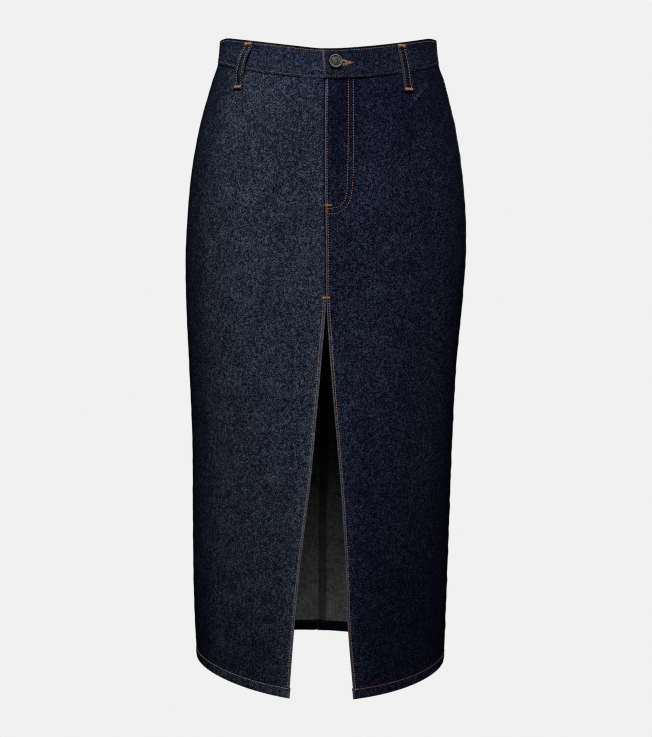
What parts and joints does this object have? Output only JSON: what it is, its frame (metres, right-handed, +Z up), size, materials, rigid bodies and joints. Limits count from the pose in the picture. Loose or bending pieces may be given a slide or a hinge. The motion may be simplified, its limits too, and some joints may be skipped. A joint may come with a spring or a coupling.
{
  "type": "denim skirt",
  "caption": "Dark denim midi pencil skirt, held open as worn: lapped fly front, shank button at the waistband, belt loops and a long slit up the centre front to an open hem.",
  "frame": {"origin": "middle of the waist, on the wearer's axis, half way up the waistband at the side seams", "axes": "+Z up along the wearer, -Y towards the front that the wearer faces, +X to the wearer's left"},
  "size_m": [0.3777, 0.2657, 0.8577],
  "materials": {
    "denim": "raw dark indigo twill, greyish green on its wrong side",
    "dark_metal": "dark nickel, worn lighter at the rim"
  },
  "bodies": {
    "root": {"front_left": "denim", "front_right": "denim", "back_left": "denim", "back_right": "denim", "waistband_left": "denim", "waistband_right": "denim", "loop_front_right": "denim", "loop_front_left": "denim", "loop_back_right": "denim", "loop_back_left": "denim", "loop_back_centre": "denim", "button": "dark_metal", "button_tack": "dark_metal"}
  },
  "joints": []
}
